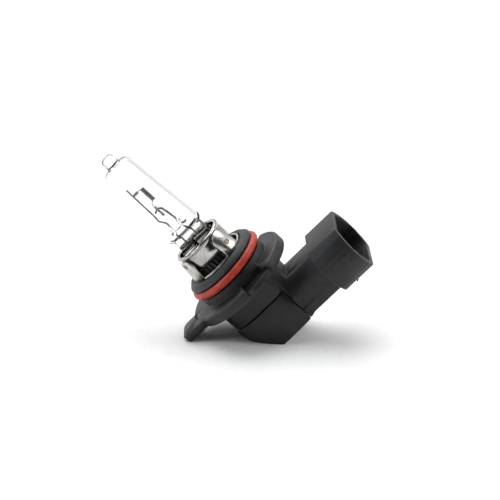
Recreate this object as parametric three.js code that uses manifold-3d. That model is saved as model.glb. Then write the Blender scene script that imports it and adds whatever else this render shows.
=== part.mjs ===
// A right-angle halogen headlight bulb with a moulded socket, lying at rest on its heel and its rear tab.
// Millimetres. The lamp is drawn in a frame of its own: origin on the lamp axis in the plane of the lugs'
// bulb-side faces, +Z towards the glass tip, +X towards the connector mouth. One group then tips it over.
import * as THREE from "three";
import { mergeVertices } from "three/addons/utils/BufferGeometryUtils.js";
import Module from "manifold-3d";

const wasm = await Module();
wasm.setup();

const restTilt = 46; // degrees from upright to the lamp axis
const groundDepth = 15.9; // from the lamp's origin down to the surface that it lies on
const gap = 0.3; // between pieces that touch
const fineGap = 0.08; // around the fine wires
const roundSegments = 44; // round a full turn

const lightCentre = 31.5; // from the lug plane to the middle of the filament

const glass = { radius: 5.6, topRadius: 4.55, wall: 1.0, shoulder: 17.4, headroom: 8.7, domeHeight: 2.6 };
const nub = { radius: 1.9, tipRadius: 1.3, length: 3.1 };
const pinch = { width: 9.0, thickness: 3.2, bottom: 8.4 };

const wire = { radius: 0.26, outerRadius: 0.3, spacing: 3.5, middle: -0.35, foilGap: 0.1 };
const foil = { width: 2.4, thickness: 0.1, bottom: 10.8, top: 15.0 };
const coil = { radius: 0.5, wireRadius: 0.11, length: 4.3, turns: 10, offset: 0.4 };
const sleeve = { radius: 0.4, upperLength: 1.4, lowerLength: 3.2 };

const collar = { room: 2.12, wall: 0.4, bottom: 9.1, top: 14.2, bead: 0.25, lip: 0.75 };
const clamp = { sheet: 0.4, plateDrop: 1.0, skirtRise: 0.5, fingerDrop: 2.1, fingerSlit: 0.7 };
const baseRing = { footWidth: 1.2, height: 1.0, wall: 0.5, inset: 0.1 };
const tabs = { angles: [-40, -140, 90], width: 5.2, drop: 0.8, splay: 0.7 };

const neck = { radius: 10.7, top: 6.8, chamfer: 1.1, boreRadius: 5.6, wellDepth: 1.0 };
const crown = { slots: 34, slotWidth: 0.75, slotDepth: 0.45 };
const seal = { sunk: 0.4, sectionRadius: 1.1, height: 3.75 };
const flange = { radius: 14.5, top: -1.6, bottom: -3.2 };
const lugs = [
  { radius: 15.0, from: -46, to: 50 },
  { radius: 15.7, from: 100, to: 186 },
  { radius: 15.0, from: 186, to: 278.5 },
];
const lugChamfer = 0.4;
const ledge = { radius: 12.6, from: 275, to: 316, scallop: 2.5, scallopReach: 13.84, scallopTurn: -56.2 };
const rearTab = { reach: 20.2, near: -7.2, far: 1.6, top: -0.8, thickness: 2.0, cornerRadius: 1.6 };

const body = { halfX: 9.95, halfY: 8.6, squareness: 3.3, wall: 1.9, roof: 1.5 };
const cover = { top: -9.4, bottom: -20.0, side: 7.25, proud: 0.2 };
const coverLip = { height: 2.0, wall: 1.2, root: 0.2 };

const socketHeight = -14.4; // the socket's centre line, measured along the lamp axis
const barrel = { halfHeight: 5.8, flat: 4.7, halfWidth: 7.9, lowHeight: 5.6, lowFlat: 6.3 };
const pocket = { halfHeight: 4.0, halfWidth: 5.2 };
const shroud = { start: 18.3, mouth: 28.1, halfHeight: 7.1, flat: 6.4, halfWidth: 10.1, wall: 1.2 };
const floor = { depth: 14.1, thickness: 2.5 };
const latch = { setBack: 7.1, length: 3.0, height: 2.0, width: 4.4 };

const blade = { width: 2.8, thickness: 0.8, spacing: 6.8, recess: 3.5, footWidth: 2.8, top: 0.6, bevel: 0.7 };

// Sizes that follow from the ones above.
const dome = lightCentre + glass.headroom;
const collarRadius = Math.hypot(pinch.width / 2, pinch.thickness / 2) + collar.room;
const footRadius = collarRadius + baseRing.footWidth;
const wellFloor = neck.top - neck.wellDepth;
const sealRadius = neck.radius - seal.sunk;
const coverWall = cover.proud + body.wall + gap + coverLip.root;
const floorFront = shroud.mouth - floor.depth;

// Geometry helpers

// Positions only, with shared vertices merged and collapsed triangles dropped.
function weld(geometry) {
  const bare = geometry.clone();
  bare.deleteAttribute("normal");
  bare.deleteAttribute("uv");
  const merged = mergeVertices(bare, 1e-4);
  const kept = [];
  const index = merged.index.array;
  for (let i = 0; i < index.length; i += 3) {
    const [a, b, c] = [index[i], index[i + 1], index[i + 2]];
    if (a !== b && b !== c && c !== a) kept.push(a, b, c);
  }
  merged.setIndex(kept);
  return merged;
}

// A closed geometry as a solid that can be joined and cut.
function solid(geometry) {
  const merged = weld(geometry);
  const vertProperties = new Float32Array(merged.attributes.position.array);
  const triVerts = new Uint32Array(merged.index.array);
  return new wasm.Manifold(new wasm.Mesh({ numProp: 3, vertProperties, triVerts }));
}

function geometryOf(made) {
  const mesh = made.getMesh();
  const geometry = new THREE.BufferGeometry();
  geometry.setAttribute("position", new THREE.BufferAttribute(mesh.vertProperties, 3));
  geometry.setIndex(new THREE.BufferAttribute(mesh.triVerts, 1));
  const flat = geometry.toNonIndexed();
  flat.computeVertexNormals();
  return flat;
}

// A profile of [radius, height] pairs turned about +Z.
// The outline runs anticlockwise as seen with the radius to the right and the height up.
function turned(profile, segments = roundSegments) {
  const points = profile.map(([radius, height]) => new THREE.Vector2(radius, height));
  return new THREE.LatheGeometry(points, segments).rotateX(Math.PI / 2);
}

function closed(profile) {
  return [...profile, profile[0]];
}

function arcPoints(centreR, centreZ, radius, fromDeg, toDeg, steps) {
  return Array.from({ length: steps + 1 }, (_, i) => {
    const angle = THREE.MathUtils.degToRad(fromDeg + ((toDeg - fromDeg) * i) / steps);
    return [centreR + radius * Math.cos(angle), centreZ + radius * Math.sin(angle)];
  });
}

// A flat outline in XY raised from one height to another.
function prism(shape, from, to, curveSegments = 12) {
  const settings = { depth: to - from, bevelEnabled: false, curveSegments };
  return new THREE.ExtrudeGeometry(shape, settings).translate(0, 0, from);
}

function block(from, to) {
  const size = to.map((value, i) => value - from[i]);
  const centre = to.map((value, i) => (value + from[i]) / 2);
  return new THREE.BoxGeometry(...size).translate(...centre);
}

// A superellipse, rounder than a rectangle and squarer than an ellipse.
function bodyShape(offset) {
  const steps = 56;
  const power = 2 / body.squareness;
  const points = Array.from({ length: steps }, (_, i) => {
    const angle = (i / steps) * Math.PI * 2;
    const [c, s] = [Math.cos(angle), Math.sin(angle)];
    const x = (body.halfX + offset) * Math.sign(c) * Math.abs(c) ** power;
    const y = (body.halfY + offset) * Math.sign(s) * Math.abs(s) ** power;
    return new THREE.Vector2(x, y);
  });
  return new THREE.Shape(points);
}

function circleShape(radius) {
  return new THREE.Shape().absarc(0, 0, radius, 0, Math.PI * 2, false);
}

function rod(points, radius, steps, sides = 8) {
  const path = new THREE.CatmullRomCurve3(points.map((p) => new THREE.Vector3(...p)));
  const settings = { steps, extrudePath: path, curveSegments: sides / 2, bevelEnabled: false };
  return new THREE.ExtrudeGeometry(circleShape(radius), settings);
}

// A straight round tube along an axis from one end to the other.
function straightTube(from, to, outerRadius, innerRadius) {
  const start = new THREE.Vector3(...from);
  const along = new THREE.Vector3(...to).sub(start);
  const length = along.length();
  const profile = [[innerRadius, 0], [outerRadius, 0], [outerRadius, length], [innerRadius, length]];
  const turn = new THREE.Quaternion().setFromUnitVectors(new THREE.Vector3(0, 0, 1), along.normalize());
  return turned(closed(profile), 16).applyQuaternion(turn).translate(...from);
}

// The arc from a section's widest point to the end of its flat, as [centre, radius, sweep].
function bow(halfWidth, flat, height) {
  const centre = (halfWidth ** 2 - flat ** 2 - height ** 2) / (2 * (halfWidth - flat));
  return [centre, halfWidth - centre, Math.atan2(height, flat - centre)];
}

// Flats above and below joined by bowed sides, in the socket's cross-section.
function bowedShape({ halfWidth, halfHeight, flat, lowHeight = halfHeight, lowFlat = flat }) {
  const [centre, radius, sweep] = bow(halfWidth, flat, halfHeight);
  const [lowCentre, lowRadius, lowSweep] = bow(halfWidth, lowFlat, lowHeight);
  const shape = new THREE.Shape();
  shape.absarc(lowCentre, 0, lowRadius, -lowSweep, 0, false);
  shape.absarc(centre, 0, radius, 0, sweep, false);
  shape.absarc(-centre, 0, radius, Math.PI - sweep, Math.PI, false);
  shape.absarc(-lowCentre, 0, lowRadius, Math.PI, Math.PI + lowSweep, false);
  return shape;
}

function inset(section, wall) {
  const { halfHeight, flat, halfWidth } = section;
  return { halfHeight: halfHeight - wall, flat: flat - wall / 2, halfWidth: halfWidth - wall };
}

// A cross-section of the socket pushed along +X, centred on the socket's centre line.
function alongSocket(shape, from, to) {
  const across = new THREE.Vector3(0, 1, 0);
  const up = new THREE.Vector3(0, 0, 1);
  const basis = new THREE.Matrix4().makeBasis(across, up, new THREE.Vector3(1, 0, 0));
  return prism(shape, from, to, 7).applyMatrix4(basis).translate(0, 0, socketHeight);
}

// Everything on the far side of the plane that the lamp lies on, or of one raised above it.
function underGround(raised) {
  const size = 80;
  const slab = new THREE.BoxGeometry(size, size, size);
  slab.translate(0, 0, raised - groundDepth - size / 2);
  return slab.rotateY(THREE.MathUtils.degToRad(restTilt));
}

// Glass

function envelopeOuter() {
  const shoulderRound = 1.3;
  const { radius, topRadius, shoulder, domeHeight } = glass;
  const domeTop = dome + domeHeight;
  const nubTop = domeTop + nub.length;
  const tipRound = 0.6;
  return turned([
    [0, shoulder],
    ...arcPoints(radius - shoulderRound, shoulder + shoulderRound, shoulderRound, -90, 0, 5),
    ...arcPoints(topRadius - domeHeight, dome, domeHeight, 0, 60, 5),
    [nub.radius + 0.3, domeTop],
    [nub.radius, domeTop + 0.4],
    [nub.tipRadius + tipRound * 0.6, nubTop - tipRound],
    [nub.tipRadius, nubTop],
    [0, nubTop + 0.1],
  ]);
}

function envelopeInner() {
  const { radius, topRadius, wall, shoulder, domeHeight } = glass;
  const bottom = shoulder + wall;
  const bore = radius - wall;
  const topBore = topRadius - wall;
  const domeRound = domeHeight - wall / 2;
  return turned([
    [0, bottom],
    ...arcPoints(bore - 0.8, bottom + 0.8, 0.8, -90, 0, 4),
    ...arcPoints(topBore - domeRound, dome, domeRound, 0, 70, 5),
    [0, dome + domeRound],
  ]);
}

// The way a lead takes through the pinch: a hole, a flat pocket for the foil, and a hole.
function leadChannel(x) {
  const ease = 0.15;
  const aboveHalf = wire.radius + ease * 2; // the wire already leans here towards its first bend
  const above = block(
    [x - aboveHalf, -aboveHalf, foil.top],
    [x + aboveHalf, aboveHalf, glass.shoulder + glass.wall + 0.5],
  );
  const pocket = block(
    [x - foil.width / 2 - ease, -foil.thickness / 2 - ease, foil.bottom - ease],
    [x + foil.width / 2 + ease, foil.thickness / 2 + ease, foil.top + ease],
  );
  const below = block(
    [x - wire.outerRadius - ease, -wire.outerRadius - ease, pinch.bottom - 1],
    [x + wire.outerRadius + ease, wire.outerRadius + ease, foil.bottom],
  );
  return solid(above).add(solid(pocket)).add(solid(below));
}

function glassEnvelope() {
  const halfWidth = pinch.width / 2;
  const halfThickness = pinch.thickness / 2;
  const press = block(
    [-halfWidth, -halfThickness, pinch.bottom],
    [halfWidth, halfThickness, glass.shoulder + glass.wall / 2],
  );
  let made = solid(envelopeOuter()).add(solid(press)).subtract(solid(envelopeInner()));
  for (const side of [-1, 1]) {
    made = made.subtract(leadChannel(leadX(side)));
  }
  return geometryOf(made);
}

// Filament and its supports. Places are [x, y, z] with z from the light centre.

function fromLightCentre(points) {
  return points.map(([x, y, z]) => [x, y, lightCentre + z]);
}

const upperSleeveX = -1.0;
const upperSleeveZ = coil.length / 2;
const lowerSleeveX = -0.9;
const lowerSleeveTop = -coil.length / 2 - 1.55;

// The two leads cross the pinch side by side, -1 on the long support's side and +1 on the short one's.
function leadX(side) {
  return wire.middle + (side * wire.spacing) / 2;
}

function filament() {
  const half = coil.length / 2;
  const perTurn = 8;
  const count = coil.turns * perTurn;
  const helix = Array.from({ length: count + 1 }, (_, i) => {
    const angle = Math.PI - (i / perTurn) * Math.PI * 2;
    const x = coil.offset + coil.radius * Math.cos(angle);
    return [x, coil.radius * Math.sin(angle), -half + (coil.length * i) / count];
  });
  const lowerLeg = [
    [lowerSleeveX, 0, lowerSleeveTop - 1.2],
    [lowerSleeveX, 0, lowerSleeveTop - 0.2],
    [lowerSleeveX, 0, lowerSleeveTop + 0.6],
    [lowerSleeveX + 0.3, 0, -half - 0.3],
  ];
  const upperLeg = [
    [upperSleeveX + 0.4, 0, upperSleeveZ + 0.06],
    [upperSleeveX - 0.1, 0, upperSleeveZ],
    [upperSleeveX - 0.9, 0, upperSleeveZ],
  ];
  return rod(fromLightCentre([...lowerLeg, ...helix, ...upperLeg]), coil.wireRadius, 130, 6);
}

function upperSleeve() {
  const [from, to] = fromLightCentre([
    [upperSleeveX, 0, upperSleeveZ],
    [upperSleeveX - sleeve.upperLength, 0, upperSleeveZ],
  ]);
  return straightTube(from, to, sleeve.radius, coil.wireRadius + fineGap);
}

function lowerSleeve() {
  const [from, to] = fromLightCentre([
    [lowerSleeveX, 0, lowerSleeveTop],
    [lowerSleeveX, 0, lowerSleeveTop - sleeve.lowerLength],
  ]);
  return straightTube(from, to, sleeve.radius, coil.wireRadius + fineGap);
}

// The wire's bends between the glass shoulder and a height given from the light centre.
// Each bend is [x, y, share of that climb].
function climbTo(height, bends) {
  const rise = lightCentre + height - glass.shoulder;
  return bends.map(([x, y, share]) => [x, y, glass.shoulder + rise * share]);
}

function leadStart(side) {
  const root = leadX(side);
  return [[root, 0, foil.top + wire.foilGap], [root, 0, glass.shoulder + glass.wall / 2]];
}

function longSupport() {
  const stand = upperSleeveX - sleeve.upperLength - fineGap - wire.radius;
  const upright = -5.6;
  const bends = climbTo(upright, [
    [-2.5, 0, 0.165],
    [-2.5, 0, 0.34],
    [-2.2, 0, 0.49],
    [-2.1, 0, 0.61],
    [-2.6, 0, 0.72],
    [-3.1, 0, 0.82],
    [stand - 0.2, 0, 1],
  ]);
  const top = fromLightCentre([
    [stand - 0.1, 0, upright / 2],
    [stand, 0, upperSleeveZ],
    [stand + 0.1, 0, upperSleeveZ + 2.4],
  ]);
  return rod([...leadStart(-1), ...bends, ...top], wire.radius, 40);
}

// It ends in a bend across the front of the lower sleeve.
function shortSupport() {
  const forward = -(sleeve.radius + wire.radius + fineGap);
  const crossing = lowerSleeveTop - 1.2;
  const bends = climbTo(crossing, [
    [0.9, -0.1, 0.16],
    [0.6, -0.3, 0.3],
    [0.8, -0.5, 0.45],
    [0.7, forward, 0.65],
    [0.5, forward, 0.86],
    [0.2, forward, 1],
  ]);
  const across = fromLightCentre([
    [-0.6, forward, crossing + 0.5],
    [-2.0, forward, crossing],
  ]);
  return rod([...leadStart(1), ...bends, ...across], wire.radius, 36);
}

function sealingFoil(side) {
  const x = leadX(side);
  return block(
    [x - foil.width / 2, -foil.thickness / 2, foil.bottom],
    [x + foil.width / 2, foil.thickness / 2, foil.top],
  );
}

// From the foil down through the pinch, then out sideways to the inner face of a terminal's upright.
function outerLead(side) {
  const root = leadX(side);
  const landing = -side * (blade.spacing / 2 - blade.thickness / 2 - fineGap * 2 - wire.outerRadius);
  const path = [
    [root, 0, foil.bottom - wire.foilGap],
    [root, 0, pinch.bottom],
    [root, landing * 0.1, pinch.bottom - 2],
    [root * 0.5, landing * 0.6, blade.top + 3],
    [0, landing, blade.top + 0.6],
    [0, landing, blade.top - 3],
  ];
  return rod(path, wire.outerRadius, 20);
}

// Metal base

function collarSleeve() {
  const { wall, bottom, top, bead, lip } = collar;
  const inner = collarRadius - wall;
  const beadHeight = 0.9;
  const lipHeight = 0.6;
  const ease = 0.2;
  return turned(closed([
    [inner, bottom],
    [collarRadius, bottom],
    [collarRadius, top - beadHeight],
    [collarRadius + bead, top - beadHeight + ease],
    [collarRadius + bead, top - ease],
    [collarRadius, top],
    [inner, top],
    [collarRadius - lip, top - ease],
    [collarRadius - lip, top - lipHeight + ease],
    [inner, top - lipHeight],
  ]));
}

// A spring plate inside the collar, with folded fingers that hold the pinch.
function pinchClamp() {
  const radius = collarRadius - collar.wall - gap;
  const { sheet, fingerSlit } = clamp;
  const plateTop = collar.top - clamp.plateDrop;
  const skirtBottom = collar.bottom + clamp.skirtRise;
  const fingerTop = glass.shoulder - clamp.fingerDrop;
  const cup = turned(closed([
    [radius - sheet, skirtBottom],
    [radius, skirtBottom],
    [radius, plateTop],
    [radius - sheet * 3, plateTop],
    [radius - sheet * 3, plateTop - sheet],
    [radius - sheet, plateTop - sheet],
  ]));
  const holeX = pinch.width / 2 + gap;
  const holeY = pinch.thickness / 2 + gap;
  const plate = prism(circleShape(radius - sheet), plateTop - sheet, plateTop);
  const hole = block([-holeX, -holeY, skirtBottom], [holeX, holeY, fingerTop + 1]);
  let made = solid(cup).add(solid(plate));
  const outside = holeY + sheet;
  const fingers = block([-holeX, -outside, plateTop - sheet], [holeX, outside, fingerTop]);
  const slit = block(
    [-fingerSlit / 2, -outside - 1, plateTop + sheet],
    [fingerSlit / 2, outside + 1, fingerTop + 1],
  );
  made = made.add(solid(fingers).subtract(solid(slit)));
  return geometryOf(made.subtract(solid(hole)));
}

// A hoop set in the neck's well, its edge just proud, and three rounded tabs that lean in to the collar.
function baseRingWithTabs() {
  const foot = wellFloor + gap;
  const footTop = foot + baseRing.height;
  const inner = footRadius - baseRing.wall;
  let made = solid(turned(closed([
    [inner, foot],
    [footRadius, foot],
    [footRadius, footTop],
    [inner, footTop],
  ])));
  for (const angle of tabs.angles) {
    made = made.add(collarTab(angle, foot + baseRing.wall));
  }
  return geometryOf(made);
}

function collarTab(angle, from) {
  const inner = collarRadius + collar.bead + fineGap;
  const top = collar.top - tabs.drop;
  const wall = collar.wall;
  const cone = turned(closed([
    [inner + tabs.splay, from],
    [inner + tabs.splay + wall, from],
    [inner + wall, top],
    [inner, top],
  ]));
  const half = tabs.width / 2;
  const outline = new THREE.Shape();
  outline.moveTo(-half, from);
  outline.lineTo(half, from);
  outline.absarc(0, top - half, half, 0, Math.PI, false);
  const cutter = new THREE.ExtrudeGeometry(outline, { depth: 12, bevelEnabled: false, curveSegments: 12 });
  cutter.rotateX(Math.PI / 2);
  cutter.rotateZ(THREE.MathUtils.degToRad(angle + 90));
  return solid(cone).intersect(solid(cutter));
}

function sealingRing() {
  return turned(closed(arcPoints(sealRadius, seal.height, seal.sectionRadius, -180, 157.5, 15)), 56);
}

// Moulded housing

function neckAndGroove() {
  const grooveRadius = sealRadius - seal.sectionRadius - gap;
  const grooveHalf = seal.sectionRadius + gap;
  return turned([
    [0, flange.bottom],
    [neck.radius, flange.bottom],
    [neck.radius, seal.height - grooveHalf],
    [grooveRadius, seal.height - grooveHalf],
    [grooveRadius, seal.height + grooveHalf],
    [neck.radius, seal.height + grooveHalf],
    [neck.radius, neck.top - neck.chamfer],
    [neck.radius - neck.chamfer, neck.top],
    [0, neck.top],
  ], 64);
}

// A slotted collar of the moulding, inside the base ring and just under the metal collar.
function crownSolid() {
  const radius = collarRadius + baseRing.inset - gap;
  const top = collar.bottom - gap;
  let made = solid(turned(closed([
    [neck.boreRadius, wellFloor - 1],
    [radius, wellFloor - 1],
    [radius, top],
    [neck.boreRadius, top],
  ])));
  for (let i = 0; i < crown.slots; i += 1) {
    const slot = block(
      [radius - crown.slotDepth, -crown.slotWidth / 2, wellFloor],
      [radius + 1, crown.slotWidth / 2, top + 1],
    );
    slot.rotateZ((i / crown.slots) * Math.PI * 2);
    made = made.subtract(solid(slot));
  }
  return made;
}

function lugSolid({ radius, from, to }) {
  const disc = turned([
    [0, flange.bottom],
    [radius - lugChamfer, flange.bottom],
    [radius, flange.bottom + lugChamfer],
    [radius, -lugChamfer],
    [radius - lugChamfer, 0],
    [0, 0],
  ], 60);
  const wedge = new THREE.Shape();
  wedge.moveTo(0, 0);
  const steps = 8;
  for (let i = 0; i <= steps; i += 1) {
    const angle = THREE.MathUtils.degToRad(from + ((to - from) * i) / steps);
    wedge.lineTo(radius * 1.3 * Math.cos(angle), radius * 1.3 * Math.sin(angle));
  }
  return solid(disc).intersect(solid(prism(wedge, flange.bottom - 1, 1)));
}

// The low shelf between the first lug and the last, with a round bite beside the first lug.
function ledgeSolid() {
  const { radius, from, to, scallop, scallopReach, scallopTurn } = ledge;
  const sector = new THREE.Shape();
  sector.moveTo(0, 0);
  sector.absarc(0, 0, radius * 1.2, THREE.MathUtils.degToRad(from), THREE.MathUtils.degToRad(to), false);
  const disc = solid(prism(circleShape(radius), flange.top - 0.5, 0)).intersect(
    solid(prism(sector, flange.top - 1, 1)),
  );
  const turn = THREE.MathUtils.degToRad(scallopTurn);
  const bite = prism(circleShape(scallop), flange.top - 2, 1);
  bite.translate(scallopReach * Math.cos(turn), scallopReach * Math.sin(turn), 0);
  return disc.subtract(solid(bite));
}

function rearTabSolid() {
  const { reach, near, far, top, thickness, cornerRadius } = rearTab;
  const outline = new THREE.Shape();
  outline.moveTo(-body.halfX / 2, near);
  outline.lineTo(-body.halfX / 2, far);
  outline.absarc(cornerRadius - reach, far - cornerRadius, cornerRadius, Math.PI / 2, Math.PI, false);
  outline.absarc(cornerRadius - reach, near + cornerRadius, cornerRadius, Math.PI, Math.PI * 1.5, false);
  return solid(prism(outline, top - thickness, top, 5)).subtract(solid(underGround(0)));
}

// The elbow's column, cut away where the rear cover goes.
function bodySolid() {
  const column = solid(prism(bodyShape(0), cover.bottom, flange.top));
  const coverSpace = block([-30, -30, cover.bottom - 5], [cover.side, 30, cover.top]);
  return column.subtract(solid(coverSpace));
}

function latchRamp() {
  const { length, height, width } = latch;
  const start = shroud.mouth - latch.setBack;
  const underside = socketHeight - shroud.halfHeight;
  const outline = new THREE.Shape();
  outline.moveTo(start, underside + shroud.wall / 2);
  outline.lineTo(start, underside - height);
  outline.lineTo(start + length, underside);
  outline.lineTo(start + length, underside + shroud.wall / 2);
  return prism(outline, -width / 2, width / 2).rotateX(Math.PI / 2);
}

function socketSolid() {
  const barrelOuter = solid(alongSocket(bowedShape(barrel), cover.side, shroud.start + 1));
  const shroudOuter = solid(alongSocket(bowedShape(shroud), shroud.start, shroud.mouth));
  return barrelOuter.add(shroudOuter).add(solid(latchRamp()));
}

function socketSpaces() {
  const { wall } = shroud;
  const deep = solid(alongSocket(bowedShape(inset(barrel, wall)), floorFront, shroud.start + wall + 0.5));
  const wide = solid(alongSocket(bowedShape(inset(shroud, wall)), shroud.start + wall, shroud.mouth + 1));
  const hollow = solid(block(
    [cover.side - 1, -pocket.halfWidth, socketHeight - pocket.halfHeight],
    [floorFront - floor.thickness, pocket.halfWidth, socketHeight + pocket.halfHeight],
  ));
  let spaces = deep.add(wide).add(hollow);
  for (const side of [-1, 1]) {
    const y = (side * blade.spacing) / 2;
    const slotY = blade.thickness / 2 + gap / 2;
    const slotZ = blade.width / 2 + gap / 2;
    spaces = spaces.add(solid(block(
      [cover.side, y - slotY, socketHeight - slotZ],
      [floorFront + 1, y + slotY, socketHeight + slotZ],
    )));
  }
  return spaces;
}

function housing() {
  const disc = prism(circleShape(flange.radius), flange.bottom, flange.top, 30);
  const chamber = prism(bodyShape(-body.wall), cover.top, body.roof);
  const bore = prism(circleShape(neck.boreRadius), 0, neck.top + 1, 20);
  const well = prism(circleShape(footRadius + gap), wellFloor, neck.top + 1, 24);
  let made = bodySolid().add(solid(neckAndGroove())).add(solid(disc)).add(rearTabSolid());
  for (const lug of lugs) {
    made = made.add(lugSolid(lug));
  }
  made = made.add(ledgeSolid());
  made = made.subtract(solid(chamber)).subtract(solid(bore)).subtract(solid(well)).add(crownSolid());
  return geometryOf(made.add(socketSolid()).subtract(socketSpaces()));
}

// The back half of the elbow: a shell with a locating lip, cut flat where the lamp lies on its heel.
function rearCover() {
  const top = cover.top - gap;
  const side = cover.side - gap;
  const lip = -body.wall - gap;
  const low = top - coverLip.height;
  const high = top + coverLip.height;
  const outer = solid(prism(bodyShape(cover.proud), cover.bottom, top));
  const inner = solid(prism(bodyShape(cover.proud - coverWall), cover.bottom + coverWall, top + 1));
  const lipOuter = solid(prism(bodyShape(lip), low, high));
  const lipInner = solid(prism(bodyShape(lip - coverLip.wall), low - 1, high + 1));
  const window = solid(block(
    [side - 4, -pocket.halfWidth, socketHeight - pocket.halfHeight],
    [side + 1, pocket.halfWidth, socketHeight + pocket.halfHeight],
  ));
  const beyond = solid(block([side, -30, cover.bottom - 5], [30, 30, high + 5]));
  const hollow = inner.subtract(solid(underGround(coverWall)));
  const shell = outer.subtract(hollow).add(lipOuter.subtract(lipInner));
  return geometryOf(shell.subtract(beyond).subtract(solid(underGround(0))).subtract(window));
}

// A stamped strip: a blade along the socket and an upright that the lamp's outer lead is welded to.
function terminal(side) {
  const { width, thickness, spacing, top, bevel } = blade;
  const tip = shroud.mouth - blade.recess;
  const heel = blade.footWidth / 2;
  const low = socketHeight - width / 2;
  const high = socketHeight + width / 2;
  const outline = new THREE.Shape();
  outline.moveTo(-heel, low);
  outline.lineTo(tip - bevel, low);
  outline.lineTo(tip, low + bevel);
  outline.lineTo(tip, high - bevel);
  outline.lineTo(tip - bevel, high);
  outline.lineTo(heel, high);
  outline.lineTo(heel, top);
  outline.lineTo(-heel, top);
  const y = (side * spacing) / 2;
  return prism(outline, -thickness / 2, thickness / 2).rotateX(Math.PI / 2).translate(0, y, 0);
}

// Scene

const finishes = {
  glass: { color: 0xe8eef0, roughness: 0.05, metalness: 0, transparent: true, opacity: 0.35 },
  tungsten: { color: 0x5a5a5c, roughness: 0.5, metalness: 1 },
  molybdenum: { color: 0x6c6a68, roughness: 0.4, metalness: 1 },
  steel: { color: 0xb8b6b0, roughness: 0.3, metalness: 1 },
  tinnedBrass: { color: 0xb0a78c, roughness: 0.35, metalness: 1 },
  silicone: { color: 0xa8382e, roughness: 0.6, metalness: 0 },
  nylon: { color: 0x26282b, roughness: 0.55, metalness: 0 },
  coverNylon: { color: 0x2a2b2e, roughness: 0.55, metalness: 0 },
};

function piece(name, geometry, finish) {
  const mesh = new THREE.Mesh(geometry, new THREE.MeshStandardMaterial(finishes[finish]));
  mesh.name = name;
  return mesh;
}

const burner = new THREE.Group();
burner.add(
  piece("glass_envelope", glassEnvelope(), "glass"),
  piece("filament", filament(), "tungsten"),
  piece("upper_filament_sleeve", upperSleeve(), "molybdenum"),
  piece("lower_filament_sleeve", lowerSleeve(), "molybdenum"),
  piece("long_support_wire", longSupport(), "molybdenum"),
  piece("short_support_wire", shortSupport(), "molybdenum"),
  piece("sealing_foil_long", sealingFoil(-1), "molybdenum"),
  piece("sealing_foil_short", sealingFoil(1), "molybdenum"),
  piece("outer_lead_long", outerLead(-1), "molybdenum"),
  piece("outer_lead_short", outerLead(1), "molybdenum"),
);

const metalBase = new THREE.Group();
metalBase.add(
  piece("pinch_clamp", pinchClamp(), "steel"),
  piece("collar_sleeve", collarSleeve(), "steel"),
  piece("base_ring", baseRingWithTabs(), "steel"),
);

const plasticBase = new THREE.Group();
plasticBase.add(
  piece("sealing_ring", sealingRing(), "silicone"),
  piece("socket_housing", housing(), "nylon"),
  piece("rear_cover", rearCover(), "coverNylon"),
  piece("terminal_near", terminal(-1), "tinnedBrass"),
  piece("terminal_far", terminal(1), "tinnedBrass"),
);

const lamp = new THREE.Group();
lamp.add(burner, metalBase, plasticBase);
lamp.rotation.y = -THREE.MathUtils.degToRad(restTilt);

// The part's origin is the middle of its own box, on the surface that it lies on.
const bulb = new THREE.Group();
bulb.add(lamp);
bulb.updateMatrixWorld(true);
const extent = new THREE.Box3().setFromObject(lamp, true);
const middle = extent.getCenter(new THREE.Vector3());
lamp.position.set(-middle.x, -middle.y, -extent.min.z);

export default bulb;
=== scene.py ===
# A halogen headlight bulb, looked at on a pale sweep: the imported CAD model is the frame,
# and the pieces that show are rebuilt here with their real roundings and finishes.
import math

import bmesh
import bpy
from mathutils import Matrix, Vector


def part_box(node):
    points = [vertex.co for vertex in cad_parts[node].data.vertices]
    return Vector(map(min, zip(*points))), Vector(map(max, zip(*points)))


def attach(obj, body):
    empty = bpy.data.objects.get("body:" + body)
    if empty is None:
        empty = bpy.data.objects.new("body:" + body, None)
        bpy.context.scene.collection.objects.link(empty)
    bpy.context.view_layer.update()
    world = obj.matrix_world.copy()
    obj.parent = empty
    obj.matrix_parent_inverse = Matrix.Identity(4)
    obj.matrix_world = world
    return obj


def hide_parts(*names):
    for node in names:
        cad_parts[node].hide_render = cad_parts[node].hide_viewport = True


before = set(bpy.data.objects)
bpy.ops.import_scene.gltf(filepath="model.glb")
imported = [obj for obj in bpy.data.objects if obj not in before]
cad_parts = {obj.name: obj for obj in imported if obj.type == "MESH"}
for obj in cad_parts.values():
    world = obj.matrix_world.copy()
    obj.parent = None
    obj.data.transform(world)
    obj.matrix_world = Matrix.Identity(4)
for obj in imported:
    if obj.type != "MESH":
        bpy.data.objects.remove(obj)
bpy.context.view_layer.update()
scene = bpy.context.scene
mm = 0.001

# The pieces are drawn in millimetres in the lamp's own axes: +Z up the lamp from the lug plane,
# +X towards the connector. One matrix then takes them to where the CAD model lies.
lampPose = {
    "tilt": 46,  # degrees between the lamp axis and upright
    "sealHeight": 3.75,  # from the lug plane up to the middle of the sealing ring
}
sealLow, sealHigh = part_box("sealing_ring")
sealCentre = (sealLow + sealHigh) / 2
lampTurn = Matrix.Rotation(-math.radians(lampPose["tilt"]), 4, "Y")
lampOrigin = sealCentre - lampTurn @ Vector((0, 0, lampPose["sealHeight"] * mm))
lampToWorld = Matrix.Translation(lampOrigin) @ lampTurn @ Matrix.Scale(mm, 4)

# Camera

cameraSetting = {
    "azimuth": -0.4,  # degrees
    "elevation": 22.1,
    "distance": 0.428,  # metres from the sealing ring
    "lens": 119.5,
    "shift": (0.0496, 0.0304),
}


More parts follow.
